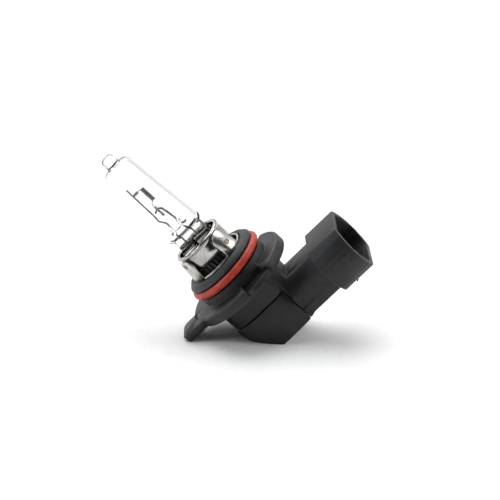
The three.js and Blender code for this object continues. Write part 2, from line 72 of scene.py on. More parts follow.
def makeCamera(setting):
    azimuth, elevation = (math.radians(setting[k]) for k in ("azimuth", "elevation"))
    back = Vector((
        math.sin(azimuth) * math.cos(elevation),
        -math.cos(azimuth) * math.cos(elevation),
        math.sin(elevation),
    ))
    data = bpy.data.cameras.new("camera")
    data.lens = setting["lens"]
    data.shift_x, data.shift_y = setting["shift"]
    data.clip_start, data.clip_end = 0.01, 20
    camera = bpy.data.objects.new("camera", data)
    camera.location = sealCentre + back * setting["distance"]
    camera.rotation_mode = "QUATERNION"
    camera.rotation_quaternion = (-back).to_track_quat("-Z", "Y")
    scene.collection.objects.link(camera)
    scene.camera = camera


makeCamera(cameraSetting)
print("camera set")

# Shading tools


def linear(hexColour):
    channels = [int(hexColour[i:i + 2], 16) / 255 for i in (1, 3, 5)]
    return tuple(c / 12.92 if c <= 0.04045 else ((c + 0.055) / 1.055) ** 2.4 for c in channels) + (1,)


# Adds one node: attributes by name, socket values in "values", links into it in "links".
def addNode(tree, kind, values=None, links=None, **attributes):
    node = tree.nodes.new(kind)
    for name, value in attributes.items():
        setattr(node, name, value)
    for socket, value in (values or {}).items():
        node.inputs[socket].default_value = value
    for socket, source in (links or {}).items():
        tree.links.new(source, node.inputs[socket])
    return node


def startMaterial(name, **shaderValues):
    material = bpy.data.materials.new(name)
    material.use_nodes = True
    tree = material.node_tree
    shader = tree.nodes["Principled BSDF"]
    for socket, value in shaderValues.items():
        shader.inputs[socket.replace("_", " ")].default_value = value
    return material, tree, shader


# Places in millimetres, so that a noise scale of 1 / size gives grains of that size.
def millimetres(tree, stretch=(1, 1, 1), turned=False):
    place = addNode(tree, "ShaderNodeTexCoord")
    angle = math.radians(lampPose["tilt"]) if turned else 0
    return addNode(
        tree, "ShaderNodeMapping",
        values={"Rotation": (0, angle, 0), "Scale": tuple(s / mm for s in stretch)},
        links={"Vector": place.outputs["Object"]},
        vector_type="POINT",
    ).outputs["Vector"]


def ramp(tree, source, stops):
    node = addNode(tree, "ShaderNodeValToRGB", links={"Fac": source})
    elements = node.color_ramp.elements
    while len(elements) < len(stops):
        elements.new(0.5)
    for element, (position, colour) in zip(elements, stops):
        element.position = position
        element.color = linear(colour)
    return node.outputs["Color"]


def rangeOf(tree, source, low, high, fromLow=0.3, fromHigh=0.7):
    return addNode(
        tree, "ShaderNodeMapRange",
        values={"From Min": fromLow, "From Max": fromHigh, "To Min": low, "To Max": high},
        links={"Value": source},
    ).outputs["Result"]


# Materials

# Glass-filled PA66, injection moulded in a spark-eroded tool: a dull black with a fine even grain,
# a little greyer where the skin of the moulding flowed last, and specks of dust.
nylonLook = {
    "dark": "#0e0f12", "mid": "#131417", "pale": "#1b1c1f",
    "roughness": (0.4, 0.54), "ior": 1.5, "specular": 0.42,
    "grain": 0.22,  # mm; the real grain is near 0.05, drawn coarser so that it shows
    "flow": 6.0, "bump": 0.09,
    "dust": "#5d5c58", "dustCover": 0.35, "dustSpacing": 2.1, "dustEdge": (0.02, 0.07),
}
coverLook = {**nylonLook, "dark": "#111214", "mid": "#17181a", "pale": "#1f2022", "grain": 0.26}
# The same moulding on its rounded edges: painted paler as an edge highlight, and a little shinier.
edgeHighlightLook = {**nylonLook, "dark": "#1d1e21", "mid": "#292a2d", "pale": "#37383b", "roughness": (0.36, 0.48)}


def mouldedNylon(name, look):
    material, tree, shader = startMaterial(name, IOR=look["ior"], Specular_IOR_Level=look["specular"])
    place = millimetres(tree)
    flow = addNode(
        tree, "ShaderNodeTexNoise",
        values={"Scale": 1 / look["flow"], "Detail": 4, "Roughness": 0.6, "Distortion": 0.6},
        links={"Vector": place},
    )
    stops = [(0.3, look["dark"]), (0.5, look["mid"]), (0.75, look["pale"])]
    colour = ramp(tree, flow.outputs["Fac"], stops)
    grain = addNode(
        tree, "ShaderNodeTexNoise",
        values={"Scale": 1 / look["grain"], "Detail": 3, "Roughness": 0.65},
        links={"Vector": place},
    )
    dust = addNode(
        tree, "ShaderNodeTexVoronoi", values={"Scale": 1 / look["dustSpacing"], "Randomness": 1},
        links={"Vector": place},
    )
    speck = rangeOf(tree, dust.outputs["Distance"], look["dustCover"], 0, *look["dustEdge"])
    dusty = addNode(
        tree, "ShaderNodeMix", values={"B": linear(look["dust"])},
        links={"Factor": speck, "A": colour}, data_type="RGBA",
    )
    tree.links.new(dusty.outputs["Result"], shader.inputs["Base Color"])
    tree.links.new(rangeOf(tree, grain.outputs["Fac"], *look["roughness"]), shader.inputs["Roughness"])
    bump = addNode(
        tree, "ShaderNodeBump", values={"Strength": 1, "Distance": look["bump"] * mm},
        links={"Height": grain.outputs["Fac"]},
    )
    tree.links.new(bump.outputs["Normal"], shader.inputs["Normal"])
    return material


# Silicone rubber, compression moulded: brick red, satin, faintly mottled with a little bloom.
siliconeLook = {
    "dark": "#8f2a20", "mid": "#ac3a2d", "pale": "#bd4a3a",
    "roughness": (0.36, 0.5), "ior": 1.41, "mottle": 1.4, "grain": 0.18, "bump": 0.03,
}


def mouldedSilicone(look):
    material, tree, shader = startMaterial("moulded silicone rubber", IOR=look["ior"])
    place = millimetres(tree)
    mottle = addNode(
        tree, "ShaderNodeTexNoise", values={"Scale": 1 / look["mottle"], "Detail": 5, "Roughness": 0.6},
        links={"Vector": place},
    )
    grain = addNode(
        tree, "ShaderNodeTexNoise", values={"Scale": 1 / look["grain"], "Detail": 2},
        links={"Vector": place},
    )
    stops = [(0.32, look["dark"]), (0.5, look["mid"]), (0.7, look["pale"])]
    colour = ramp(tree, mottle.outputs["Fac"], stops)
    tree.links.new(colour, shader.inputs["Base Color"])
    tree.links.new(rangeOf(tree, mottle.outputs["Fac"], *look["roughness"]), shader.inputs["Roughness"])
    bump = addNode(
        tree, "ShaderNodeBump", values={"Strength": 1, "Distance": look["bump"] * mm},
        links={"Height": grain.outputs["Fac"]},
    )
    tree.links.new(bump.outputs["Normal"], shader.inputs["Normal"])
    return material


# Nickel-plated strip steel, deep drawn: bright, with faint draw lines up the lamp and cloudy smears.
steelLook = {
    "dark": "#989692", "mid": "#adaba7", "pale": "#c2c0bc",
    "roughness": (0.12, 0.2), "lines": 0.16, "lineLength": 5.0, "cloud": 2.6, "bump": 0.008,
}
# The same strip, rolled and matt, as the tabs are.
tabLook = {**steelLook, "dark": "#a5a39f", "mid": "#bebcb8", "pale": "#d0ceca", "roughness": (0.3, 0.42)}
# Tin over brass strip, stamped: greyish yellow with brighter, sheared edges.
tinLook = {
    "dark": "#8f8769", "mid": "#b3ab8e", "pale": "#cbc5af",
    "roughness": (0.26, 0.4), "lines": 0.12, "lineLength": 3.0, "cloud": 1.6, "bump": 0.01,
}
# Molybdenum wire and foil, drawn: dark grey, with die lines along it.
molybdenumLook = {
    "dark": "#4a4744", "mid": "#66625d", "pale": "#817c76",
    "roughness": (0.28, 0.42), "lines": 0.08, "lineLength": 2.0, "cloud": 1.2, "bump": 0.006,
}
# Tungsten wire, coiled and flashed: darker, with a fine crystalline skin.
tungstenLook = {
    **molybdenumLook, "dark": "#625f5c", "mid": "#7f7c78", "pale": "#9a9792", "roughness": (0.38, 0.5),
}


def drawnMetal(name, look):
    material, tree, shader = startMaterial(name, Metallic=1.0)
    place = millimetres(tree)
    lined = millimetres(tree, (1, 1, look["lines"] / look["lineLength"]), turned=True)
    cloud = addNode(
        tree, "ShaderNodeTexNoise", values={"Scale": 1 / look["cloud"], "Detail": 4, "Roughness": 0.55},
        links={"Vector": place},
    )
    lines = addNode(
        tree, "ShaderNodeTexNoise", values={"Scale": 1 / look["lines"], "Detail": 2},
        links={"Vector": lined},
    )
    both = addNode(
        tree, "ShaderNodeMix", values={"Factor": 0.4},
        links={"A": cloud.outputs["Fac"], "B": lines.outputs["Fac"]}, data_type="FLOAT",
    ).outputs["Result"]
    colour = ramp(tree, both, [(0.36, look["dark"]), (0.5, look["mid"]), (0.64, look["pale"])])
    tree.links.new(colour, shader.inputs["Base Color"])
    tree.links.new(rangeOf(tree, both, *look["roughness"], 0.38, 0.62), shader.inputs["Roughness"])
    bump = addNode(
        tree, "ShaderNodeBump", values={"Strength": 1, "Distance": look["bump"] * mm},
        links={"Height": lines.outputs["Fac"]},
    )
    tree.links.new(bump.outputs["Normal"], shader.inputs["Normal"])
    return material


# Fused quartz tube, flame worked: clear and colourless, with faint draw lines and slow waves
# where it was softened, which bend the light at the edges of the tube.
quartzLook = {"ior": 1.458, "lines": 0.5, "lineLength": 14.0, "wave": 3.2, "bump": 0.012}


def flameWorkedQuartz(look):
    material, tree, shader = startMaterial(
        "flame-worked quartz glass",
        IOR=look["ior"], Transmission_Weight=1.0, Roughness=0.0, Base_Color=linear("#fdfefe"),
    )
    lined = millimetres(tree, (1, 1, look["lines"] / look["lineLength"]), turned=True)
    lines = addNode(
        tree, "ShaderNodeTexNoise", values={"Scale": 1 / look["lines"], "Detail": 1},
        links={"Vector": lined},
    )
    wave = addNode(
        tree, "ShaderNodeTexNoise", values={"Scale": 1 / look["wave"], "Detail": 1},
        links={"Vector": millimetres(tree)},
    )
    height = addNode(
        tree, "ShaderNodeMix", values={"Factor": 0.6},
        links={"A": lines.outputs["Fac"], "B": wave.outputs["Fac"]}, data_type="FLOAT",
    )
    bump = addNode(
        tree, "ShaderNodeBump", values={"Strength": 1, "Distance": look["bump"] * mm},
        links={"Height": height.outputs["Result"]},
    )
    tree.links.new(bump.outputs["Normal"], shader.inputs["Normal"])
    return material


# Spot-welded steel: an annealing tint of straw and brown round a grey, slightly molten middle.
weldLook = {
    "edge": "#8c7a62", "ring": "#5a4535", "middle": "#85817a",
    "roughness": (0.3, 0.5), "mottle": 0.36, "bump": 0.03,
}


def heatTintedSteel(look):
    material, tree, shader = startMaterial("heat-tinted spot weld", Metallic=1.0)
    noise = addNode(
        tree, "ShaderNodeTexNoise", values={"Scale": 1 / look["mottle"], "Detail": 4},
        links={"Vector": millimetres(tree)},
    )
    stops = [(0.35, look["ring"]), (0.5, look["edge"]), (0.65, look["middle"])]
    colour = ramp(tree, noise.outputs["Fac"], stops)
    tree.links.new(colour, shader.inputs["Base Color"])
    tree.links.new(rangeOf(tree, noise.outputs["Fac"], *look["roughness"]), shader.inputs["Roughness"])
    bump = addNode(
        tree, "ShaderNodeBump", values={"Strength": 1, "Distance": look["bump"] * mm},
        links={"Height": noise.outputs["Fac"]},
    )
    tree.links.new(bump.outputs["Normal"], shader.inputs["Normal"])
    return material


nylon = mouldedNylon("moulded glass-filled nylon", nylonLook)
coverNylon = mouldedNylon("moulded nylon, rear cover", coverLook)
paintedHighlightNylon = mouldedNylon("moulded nylon, painted edge highlight", edgeHighlightLook)
silicone = mouldedSilicone(siliconeLook)
steel = drawnMetal("deep-drawn plated steel", steelLook)
tabSteel = drawnMetal("rolled strip steel", tabLook)
tinnedBrass = drawnMetal("tinned brass strip", tinLook)
molybdenum = drawnMetal("drawn molybdenum wire", molybdenumLook)
tungsten = drawnMetal("coiled tungsten wire", tungstenLook)
quartz = flameWorkedQuartz(quartzLook)
weldTint = heatTintedSteel(weldLook)
print("materials made")

# Mesh tools


def arc(centreR, centreZ, radius, fromDeg, toDeg, steps):
    angles = [math.radians(fromDeg + (toDeg - fromDeg) * i / steps) for i in range(steps + 1)]
    return [(centreR + radius * math.cos(a), centreZ + radius * math.sin(a)) for a in angles]


# A profile of (radius, height) turned about Z. It runs from axis to axis, or is closed on itself.
def turned(profile, segments, closed=False):
    bm = bmesh.new()
    rings = []
    for radius, height in profile:
        if radius < 1e-6:
            rings.append([bm.verts.new((0, 0, height))])
            continue
        turns = [2 * math.pi * i / segments for i in range(segments)]
        rings.append([bm.verts.new((radius * math.cos(a), radius * math.sin(a), height)) for a in turns])
    pairs = list(zip(rings, rings[1:]))
    if closed:
        pairs.append((rings[-1], rings[0]))
    for low, high in pairs:
        for i in range(segments):
            j = (i + 1) % segments
            corners = [low[i % len(low)], low[j % len(low)], high[j % len(high)], high[i % len(high)]]
            unique = list(dict.fromkeys(corners))
            if len(unique) > 2:
                bm.faces.new(unique)
    return bm


def boxMesh(low, high):
    bm = bmesh.new()
    bmesh.ops.create_cube(bm, size=1)
    size = [h - l for l, h in zip(low, high)]
    middle = Vector([(h + l) / 2 for l, h in zip(low, high)])
    bm.transform(Matrix.Translation(middle) @ Matrix.Diagonal((*size, 1)))
    return bm


# A smooth path through the points: centripetal Catmull-Rom, with a fixed number of steps a span.
def smoothPath(points, steps):
    knots = [Vector(p) for p in points]
    knots = [knots[0] * 2 - knots[1], *knots, knots[-1] * 2 - knots[-2]]
    path = []
    for p0, p1, p2, p3 in zip(knots, knots[1:], knots[2:], knots[3:]):
        t1 = (p1 - p0).length ** 0.5
        t2 = t1 + (p2 - p1).length ** 0.5
        t3 = t2 + (p3 - p2).length ** 0.5
        for i in range(steps):
            t = t1 + (t2 - t1) * i / steps
            a1 = p0.lerp(p1, t / t1)
            a2 = p1.lerp(p2, (t - t1) / (t2 - t1))
            a3 = p2.lerp(p3, (t - t2) / (t3 - t2))
            b1 = a1.lerp(a2, t / t2)
            b2 = a2.lerp(a3, (t - t1) / (t3 - t1))
            path.append(b1.lerp(b2, (t - t1) / (t2 - t1)))
    return [*path, knots[-2]]


# How a cut wire's ends are eased over, in shares of its radius.
wireEnd = {"length": 0.3, "radius": 0.7}


def wireMesh(path, radius, sides=14):
    bm = bmesh.new()
    ease = radius * wireEnd["length"]
    first = path[0] + (path[1] - path[0]).normalized() * ease
    last = path[-1] + (path[-2] - path[-1]).normalized() * ease
    centres = [path[0], first, *path[1:-1], last, path[-1]]
    side = Vector((0, 1, 0))
    rings = []
    for i, centre in enumerate(centres):
        along = (centres[min(i + 1, len(centres) - 1)] - centres[max(i - 1, 0)]).normalized()
        side = (side - along * side.dot(along)).normalized()
        other = along.cross(side)
        size = radius * (wireEnd["radius"] if i in (0, len(centres) - 1) else 1)
        turns = [2 * math.pi * k / sides for k in range(sides)]
        spokes = [side * math.cos(a) + other * math.sin(a) for a in turns]
        rings.append([bm.verts.new(centre + spoke * size) for spoke in spokes])
    for low, high in zip(rings, rings[1:]):
        for k in range(sides):
            bm.faces.new([low[k], low[(k + 1) % sides], high[(k + 1) % sides], high[k]])
    bm.faces.new(rings[0][::-1])
    bm.faces.new(rings[-1])
    return bm


def linkMesh(name, bm):
    bmesh.ops.recalc_face_normals(bm, faces=bm.faces)
    mesh = bpy.data.meshes.new(name)
    bm.to_mesh(mesh)
    bm.free()
    piece = bpy.data.objects.new(name, mesh)
    scene.collection.objects.link(piece)
    return piece


# Joins or cuts one mesh with another, and leaves one plain mesh.
def combine(piece, tool, operation):
    modifier = piece.modifiers.new(operation.lower(), "BOOLEAN")
    modifier.operation = operation
    modifier.solver = "EXACT"
    modifier.object = tool
    applyModifiers(piece)
    bpy.data.objects.remove(tool)


def applyModifiers(piece):
    bpy.context.view_layer.update()
    shown = piece.evaluated_get(bpy.context.evaluated_depsgraph_get())
    made = bpy.data.meshes.new_from_object(shown)
    piece.modifiers.clear()
    piece.data = made


# Rounds every edge sharper than the given angle, or only the edges that were marked.
def bevelEdges(piece, width, segments=3, degrees=32, material=-1, marked=False):
    modifier = piece.modifiers.new("bevel", "BEVEL")
    modifier.material = material
    modifier.width = width
    modifier.segments = segments
    modifier.limit_method = "WEIGHT" if marked else "ANGLE"
    modifier.angle_limit = math.radians(degrees)
    modifier.use_clamp_overlap = False
    modifier.harden_normals = True
    modifier.miter_outer = "MITER_ARC"


# Gives a piece its finish, its shading and its place on the lamp, and tells the frame about it.
def settle(piece, material, replaced=(), inLamp=True, sharpDegrees=None):
    if inLamp:
        piece.data.transform(lampToWorld)
    if material not in piece.data.materials[:]:
        piece.data.materials.clear()
        piece.data.materials.append(material)
    piece.data.polygons.foreach_set("use_smooth", [True] * len(piece.data.polygons))
    if sharpDegrees:
        piece.data.set_sharp_from_angle(angle=math.radians(sharpDegrees))
    piece.data.update()
    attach(piece, "root")
    if replaced:
        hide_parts(*replaced)
    return piece


# A rounded edge needs room at both its ends, in widths of the round and in degrees between edges.
roomSize = {"length": 2.0, "corner": 60}


def hasRoom(vertex, sharp, width):
    edges = [edge for edge in vertex.link_edges if edge in sharp]
    if any(edge.calc_length() < roomSize["length"] * width for edge in edges):
        return False
    ways = [edge.other_vert(vertex).co - vertex.co for edge in edges]
    narrow = math.radians(roomSize["corner"])
    return all(way.angle(other, 0) >= narrow for i, way in enumerate(ways) for other in ways[:i])


def markEdges(bm, width, degrees):
    weight = bm.edges.layers.float.new("bevel_weight_edge")
    limit = math.radians(degrees)
    sharp = {edge for edge in bm.edges if edge.is_manifold and edge.calc_face_angle(0) > limit}
    for edge in sharp:
        if all(hasRoom(vertex, sharp, width) for vertex in edge.verts):
            edge[weight] = 1


# The same solid as a CAD node, with its edges rounded wherever there is room for it.
def roundedCopy(node, width, finishes, segments=3, degrees=32):
    bm = bmesh.new()
    bm.from_mesh(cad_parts[node].data)
    bmesh.ops.remove_doubles(bm, verts=bm.verts, dist=2e-6)
    bmesh.ops.triangulate(bm, faces=bm.faces)
    markEdges(bm, width * mm, degrees)
    piece = linkMesh(node + "_rounded", bm)
    piece.data.materials.clear()
    for finish in finishes:
        piece.data.materials.append(finish)
    bevelEdges(piece, width * mm, segments, material=len(finishes) - 1, marked=True)
    applyModifiers(piece)
    return piece


# Glass

lightCentre = 31.5
glassSize = {
    "radius": 5.6, "topRadius": 4.55, "wall": 1.0, "shoulder": 17.4, "shoulderRound": 1.3,
    "domeStart": lightCentre + 8.7, "domeHeight": 2.6,
    "nubRadius": 1.9, "nubTip": 1.25, "nubLength": 3.1, "nubRound": 1.35,
    # The nub's side from its root up: (beyond its radius, above the dome).
    "nubSide": [(0.6, -0.08), (0.2, 0.06), (-0.04, 0.3), (-0.02, 0.7), (0.02, 1.1), (-0.08, 1.5)],
    "innerRound": 0.9, "squeezed": 0.36, "hollowSqueezed": 0.2,  # what the squeezing leaves of the width
    "pinchWidth": 9.0, "pinchThickness": 3.2, "pinchBottom": 8.4, "pinchRound": 0.7, "squeezeRise": 3.4,
}
# Small rings left on the tube by the jaws that closed the pinch: (turn in degrees, height).
jawMarks = {"places": [(-57.5, 21.6), (-110.5, 21.3)], "radius": 1.1, "width": 0.22, "height": 0.22}


def glassOuter(size):
    radius, top, rounding = size["radius"], size["topRadius"], size["shoulderRound"]
    domeStart, dome = size["domeStart"], size["domeHeight"]
    foot = size["shoulder"]
    nub, tip = size["nubRadius"], size["nubTip"]
    wallRows = 70
    rise = domeStart - foot - rounding
    wall = [
        (radius + (top - radius) * i / wallRows, foot + rounding + rise * i / wallRows)
        for i in range(1, wallRows)
    ]
    neckZ = domeStart + dome
    nubTop = neckZ + size["nubLength"]
    return [
        (0, foot),
        (radius * 0.4, foot),
        *arc(radius - rounding, foot + rounding, rounding, -90, 0, 10),
        *wall,
        *arc(top - dome, domeStart, dome, 0, 66, 12),
        *[(nub + out, neckZ + up) for out, up in size["nubSide"]],
        *arc(tip - 0.75, nubTop - size["nubRound"], size["nubRound"], 10, 90, 10),
        (0, nubTop),
    ]


def glassInner(size):
    radius, top = size["radius"] - size["wall"], size["topRadius"] - size["wall"]
    foot = size["shoulder"] + size["wall"]
    domeStart, dome = size["domeStart"], size["domeHeight"] - size["wall"] * 0.5
    rows = 24
    rounding = size["innerRound"]
    rise = domeStart - foot - rounding
    wall = [
        (radius + (top - radius) * i / rows, foot + rounding + rise * i / rows)
        for i in range(1, rows)
    ]
    return [
        (0, foot),
        (radius * 0.4, foot),
        *arc(radius - rounding, foot + rounding, rounding, -90, 0, 8),
        *wall,
        *arc(top - dome, domeStart, dome, 0, 84, 14),
        (0, domeStart + dome),
    ]


# Below the flare the tube was squeezed flat to meet the pinch.
def squeeze(bm, size, least):
    start, end = size["shoulder"], size["shoulder"] + size["squeezeRise"]
    for vert in bm.verts:
        share = min(1, max(0, (vert.co.z - start) / (end - start)))
        vert.co.y *= least + (1 - least) * math.sin(share * math.pi / 2) ** 1.4


def addJawMarks(bm, marks):
    for vert in bm.verts:
        reach = math.hypot(vert.co.x, vert.co.y)
        for turn, height in marks["places"]:
            angle = math.radians(turn)
            across = math.remainder(math.atan2(vert.co.y, vert.co.x) - angle, 2 * math.pi) * reach
            distance = math.hypot(across, vert.co.z - height)
            raised = marks["height"] * math.exp(-(((distance - marks["radius"]) / marks["width"]) ** 2))
            if raised > 0.001 and reach > 1:
                vert.co.x *= 1 + raised / reach
                vert.co.y *= 1 + raised / reach


def makeGlass(size):
    outer = turned(glassOuter(size), 144)
    addJawMarks(outer, jawMarks)
    squeeze(outer, size, size["squeezed"])
    tube = linkMesh("glass_tube", outer)
    half = size["pinchWidth"] / 2
    thick = size["pinchThickness"] / 2
    top = size["shoulder"] + size["wall"] * 0.5
    pinch = linkMesh("pinch", boxMesh((-half, -thick, size["pinchBottom"]), (half, thick, top)))
    bevelEdges(pinch, size["pinchRound"], 5)
    applyModifiers(pinch)
    combine(tube, pinch, "UNION")
    hollow = turned(glassInner(size), 96)
    squeeze(hollow, size, size["hollowSqueezed"])
    combine(tube, linkMesh("hollow", hollow), "DIFFERENCE")
    settle(tube, quartz, ["glass_envelope"], sharpDegrees=50)
    return tube


glassTube = makeGlass(glassSize)
print("glass made")

# Filament and its supports, with heights from the light centre

wireSize = {"radius": 0.26, "leadSpacing": 3.5, "leadMiddle": -0.35, "start": 15.1}
coilSize = {"radius": 0.5, "wire": 0.1, "length": 4.3, "turns": 17, "offset": 0.4}
sleeveSize = {
    "radius": 0.4, "bore": 0.19, "ease": 0.07, "crimp": 0.28, "crimpSpread": 1.6,
    "upperX": -1.0, "upperLength": 1.4, "lowerX": -0.9, "lowerLength": 3.2,
}
lowerSleeveTop = -coilSize["length"] / 2 - 1.55
supportRoutes = {
    "long": {
        "side": -1, "turnsUpright": -5.6,
        "bends": [
            (-2.5, 0, 0.165), (-2.5, 0, 0.34), (-2.2, 0, 0.49), (-2.1, 0, 0.61),
            (-2.6, 0, 0.72), (-3.1, 0, 0.82), (-2.94, 0, 1),
        ],
        "end": [(-2.84, 0, -2.8), (-2.74, 0, 2.15), (-2.64, 0, 4.55)],
    },
    "short": {
        "side": 1, "turnsUpright": lowerSleeveTop - 1.2,
        "bends": [
            (0.9, -0.1, 0.16), (0.6, -0.3, 0.3), (0.8, -0.5, 0.45),
            (0.7, -0.74, 0.65), (0.5, -0.74, 0.86), (0.2, -0.74, 1),
        ],
        "end": [(-0.6, -0.74, lowerSleeveTop - 0.7), (-2.0, -0.74, lowerSleeveTop - 1.2)],
    },
}


def fromLightCentre(points):
    return [(x, y, lightCentre + z) for x, y, z in points]


def supportPath(route):
    root = wireSize["leadMiddle"] + route["side"] * wireSize["leadSpacing"] / 2
    foot = glassSize["shoulder"]
    rise = lightCentre + route["turnsUpright"] - foot
    start = [(root, 0, wireSize["start"]), (root, 0, foot + glassSize["wall"] / 2)]
    bends = [(x, y, foot + rise * share) for x, y, share in route["bends"]]
    return smoothPath([*start, *bends, *fromLightCentre(route["end"])], 10)


def makeSupports():
    for name, route in supportRoutes.items():
        wire = linkMesh(name + "_support", wireMesh(supportPath(route), wireSize["radius"]))
        settle(wire, molybdenum, [name + "_support_wire"], sharpDegrees=50)


def makeFilament(size):
    half = size["length"] / 2
    perTurn = 14
    count = size["turns"] * perTurn
    lowerX = sleeveSize["lowerX"]
    upperX = sleeveSize["upperX"]
    turns = [math.pi - 2 * math.pi * i / perTurn for i in range(count + 1)]
    helix = [
        (
            size["offset"] + size["radius"] * math.cos(a), size["radius"] * math.sin(a),
            -half + size["length"] * i / count,
        )
        for i, a in enumerate(turns)
    ]
    lowerLeg = [
        (lowerX, 0, lowerSleeveTop - 1.2), (lowerX, 0, lowerSleeveTop - 0.2),
        (lowerX, 0, lowerSleeveTop + 0.6), (lowerX + 0.3, 0, -half - 0.3),
    ]
    upperLeg = [(upperX + 0.4, 0, half + 0.06), (upperX - 0.1, 0, half), (upperX - 0.9, 0, half)]
    path = [
        *smoothPath(fromLightCentre([*lowerLeg, helix[0]]), 6)[:-1],
        *[Vector(p) for p in fromLightCentre(helix)],
        *smoothPath(fromLightCentre([helix[-1], *upperLeg]), 6)[1:],
    ]
    wire = linkMesh("filament_coil", wireMesh(path, size["wire"], 8))
    settle(wire, tungsten, ["filament"])


# A short tube, pinched flat on two sides where it was crimped.
def makeSleeve(name, start, end, replaced):
    radius, bore = sleeveSize["radius"], sleeveSize["bore"]
    along = Vector(end) - Vector(start)
    length = along.length
    ease = sleeveSize["ease"]
    rows = 12
    outer = [(radius, ease + (length - 2 * ease) * i / rows) for i in range(rows + 1)]
    profile = [(bore, 0), (radius - ease, 0), *outer, (radius - ease, length), (bore, length)]
    bm = turned(profile, 28, closed=True)
    for vert in bm.verts:
        middle = 1 - abs(vert.co.z / length * 2 - 1)
        if math.hypot(vert.co.x, vert.co.y) > bore + 0.05:
            vert.co.y *= 1 - sleeveSize["crimp"] * min(1, middle * sleeveSize["crimpSpread"])
    turn = Vector((0, 0, 1)).rotation_difference(along).to_matrix().to_4x4()
    bm.transform(Matrix.Translation(Vector(start)) @ turn)
    settle(linkMesh(name, bm), molybdenum, [replaced], sharpDegrees=40)


def makeSleeves():
    upperZ = coilSize["length"] / 2
    upperX, lowerX = sleeveSize["upperX"], sleeveSize["lowerX"]
    start, end = fromLightCentre([(upperX, 0, upperZ), (upperX - sleeveSize["upperLength"], 0, upperZ)])
    makeSleeve("upper_crimp_sleeve", start, end, "upper_filament_sleeve")
    start, end = fromLightCentre([
        (lowerX, 0, lowerSleeveTop), (lowerX, 0, lowerSleeveTop - sleeveSize["lowerLength"]),
    ])
    makeSleeve("lower_crimp_sleeve", start, end, "lower_filament_sleeve")


makeSupports()
makeFilament(coilSize)
makeSleeves()
print("filament and supports made")

# Metal base

collarSize = {
    "radius": 6.9, "wall": 0.4, "bottom": 9.1, "top": 14.2, "bead": 0.25, "lip": 0.75, "beadHeight": 0.9,
}


def makeCollar(size):
    radius, inner = size["radius"], size["radius"] - size["wall"]
    bottom, top, bead = size["bottom"], size["top"], size["bead"]
    rim = size["beadHeight"] / 2
    profile = [
        (inner, bottom + 0.08),
        (inner + 0.1, bottom),
        (radius - 0.1, bottom),
        (radius, bottom + 0.1),
        (radius, bottom + 2.0),
        (radius, top - size["beadHeight"] - 0.5),
        (radius + 0.03, top - size["beadHeight"] - 0.1),
        *arc(radius + bead - rim, top - rim, rim, -40, 90, 12),
        (inner - 0.1, top - 0.02),
        *arc(radius - size["lip"] + 0.2, top - 0.3, 0.22, 110, 250, 8),
        (inner - 0.1, top - 0.62),
        (inner, top - 0.8),
    ]
    collar = linkMesh("collar", turned(profile, 160, closed=True))
    settle(collar, steel, ["collar_sleeve"], sharpDegrees=50)


def makeBaseRing():
    ring = roundedCopy("base_ring", 0.07, [tabSteel], 2)
    settle(ring, tabSteel, ["base_ring"], inLamp=False)


# Spot welds on the tabs: (turn in degrees, height up the lamp).
weldSize = {
    "places": [(-37.5, 9.4), (-140.5, 12.0), (90, 10.6)],
    "radius": 0.75, "reach": 7.93, "dish": 0.1, "sunk": 0.12,
}
# A dimple struck by the locating pin of the welder.
dimpleSize = {"turn": -40.5, "height": 11.4, "radius": 0.3, "flatness": 0.4}


# The tabs lean inward as they rise: heights of their ends, reach beyond the welds', lean in degrees.
tabLean = {"low": 6.6, "high": 13.4, "outset": 0.35, "inward": 0.7, "angle": 5.9}


# Takes a profile turned about Z on to the outside of the leaning tabs.
def ontoTab(bm, turn, height):
    slope = (height - tabLean["low"]) / (tabLean["high"] - tabLean["low"])
    reach = weldSize["reach"] + tabLean["outset"] - tabLean["inward"] * slope
    outward = Matrix.Rotation(math.radians(turn), 4, "Z") @ Matrix.Translation((reach, 0, height))
    bm.transform(outward @ Matrix.Rotation(math.radians(90 - tabLean["angle"]), 4, "Y"))


def makeDimple(size):
    radius = size["radius"]
    bm = turned([*arc(0, 0, radius, -90, 90, 12)], 24)
    bm.transform(Matrix.Diagonal((1, 1, size["flatness"], 1)))
    ontoTab(bm, size["turn"], size["height"])
    settle(linkMesh("tab_dimple", bm), tabSteel)


def makeWelds(size):
    radius, dish = size["radius"], size["dish"]
    profile = [
        (0, dish * 0.9), (radius * 0.3, dish * 0.8), (radius * 0.5, dish * 0.3),
        (radius * 0.62, dish * 0.5), (radius * 0.8, dish * 1.3), (radius * 0.92, dish * 0.9),
        (radius, 0), (radius * 0.9, -size["sunk"]), (0, -size["sunk"]),
    ]
    for number, (turn, height) in enumerate(size["places"]):
        bm = turned(profile, 32)
        ontoTab(bm, turn, height)
        settle(linkMesh(f"tab_weld_{number + 1}", bm), weldTint, sharpDegrees=50)


clampSize = {
    "sheet": 0.4, "radius": 6.2, "plate": 13.2, "skirt": 9.6, "fingerTop": 15.3,
    "grip": 1.9, "halfWidth": 4.8, "slit": 0.7,
    # A finger seen from the end of the pinch, as (out from the pinch, height): its foot above the
    # plate, then its end below the finger's top.
    "fingerFoot": [(1.5, 0.12), (0.55, 0.14), (0.12, 0.5), (0.0, 1.1)],
    "fingerEnd": [(0.04, 0.5), (0.16, 0.16), (0.42, 0.12)],
    "fingerBow": 0.1, "fingerSag": 0.12, "fingerGap": 0.05, "fingerInset": 0.15, "fingerThinning": 0.75,
}


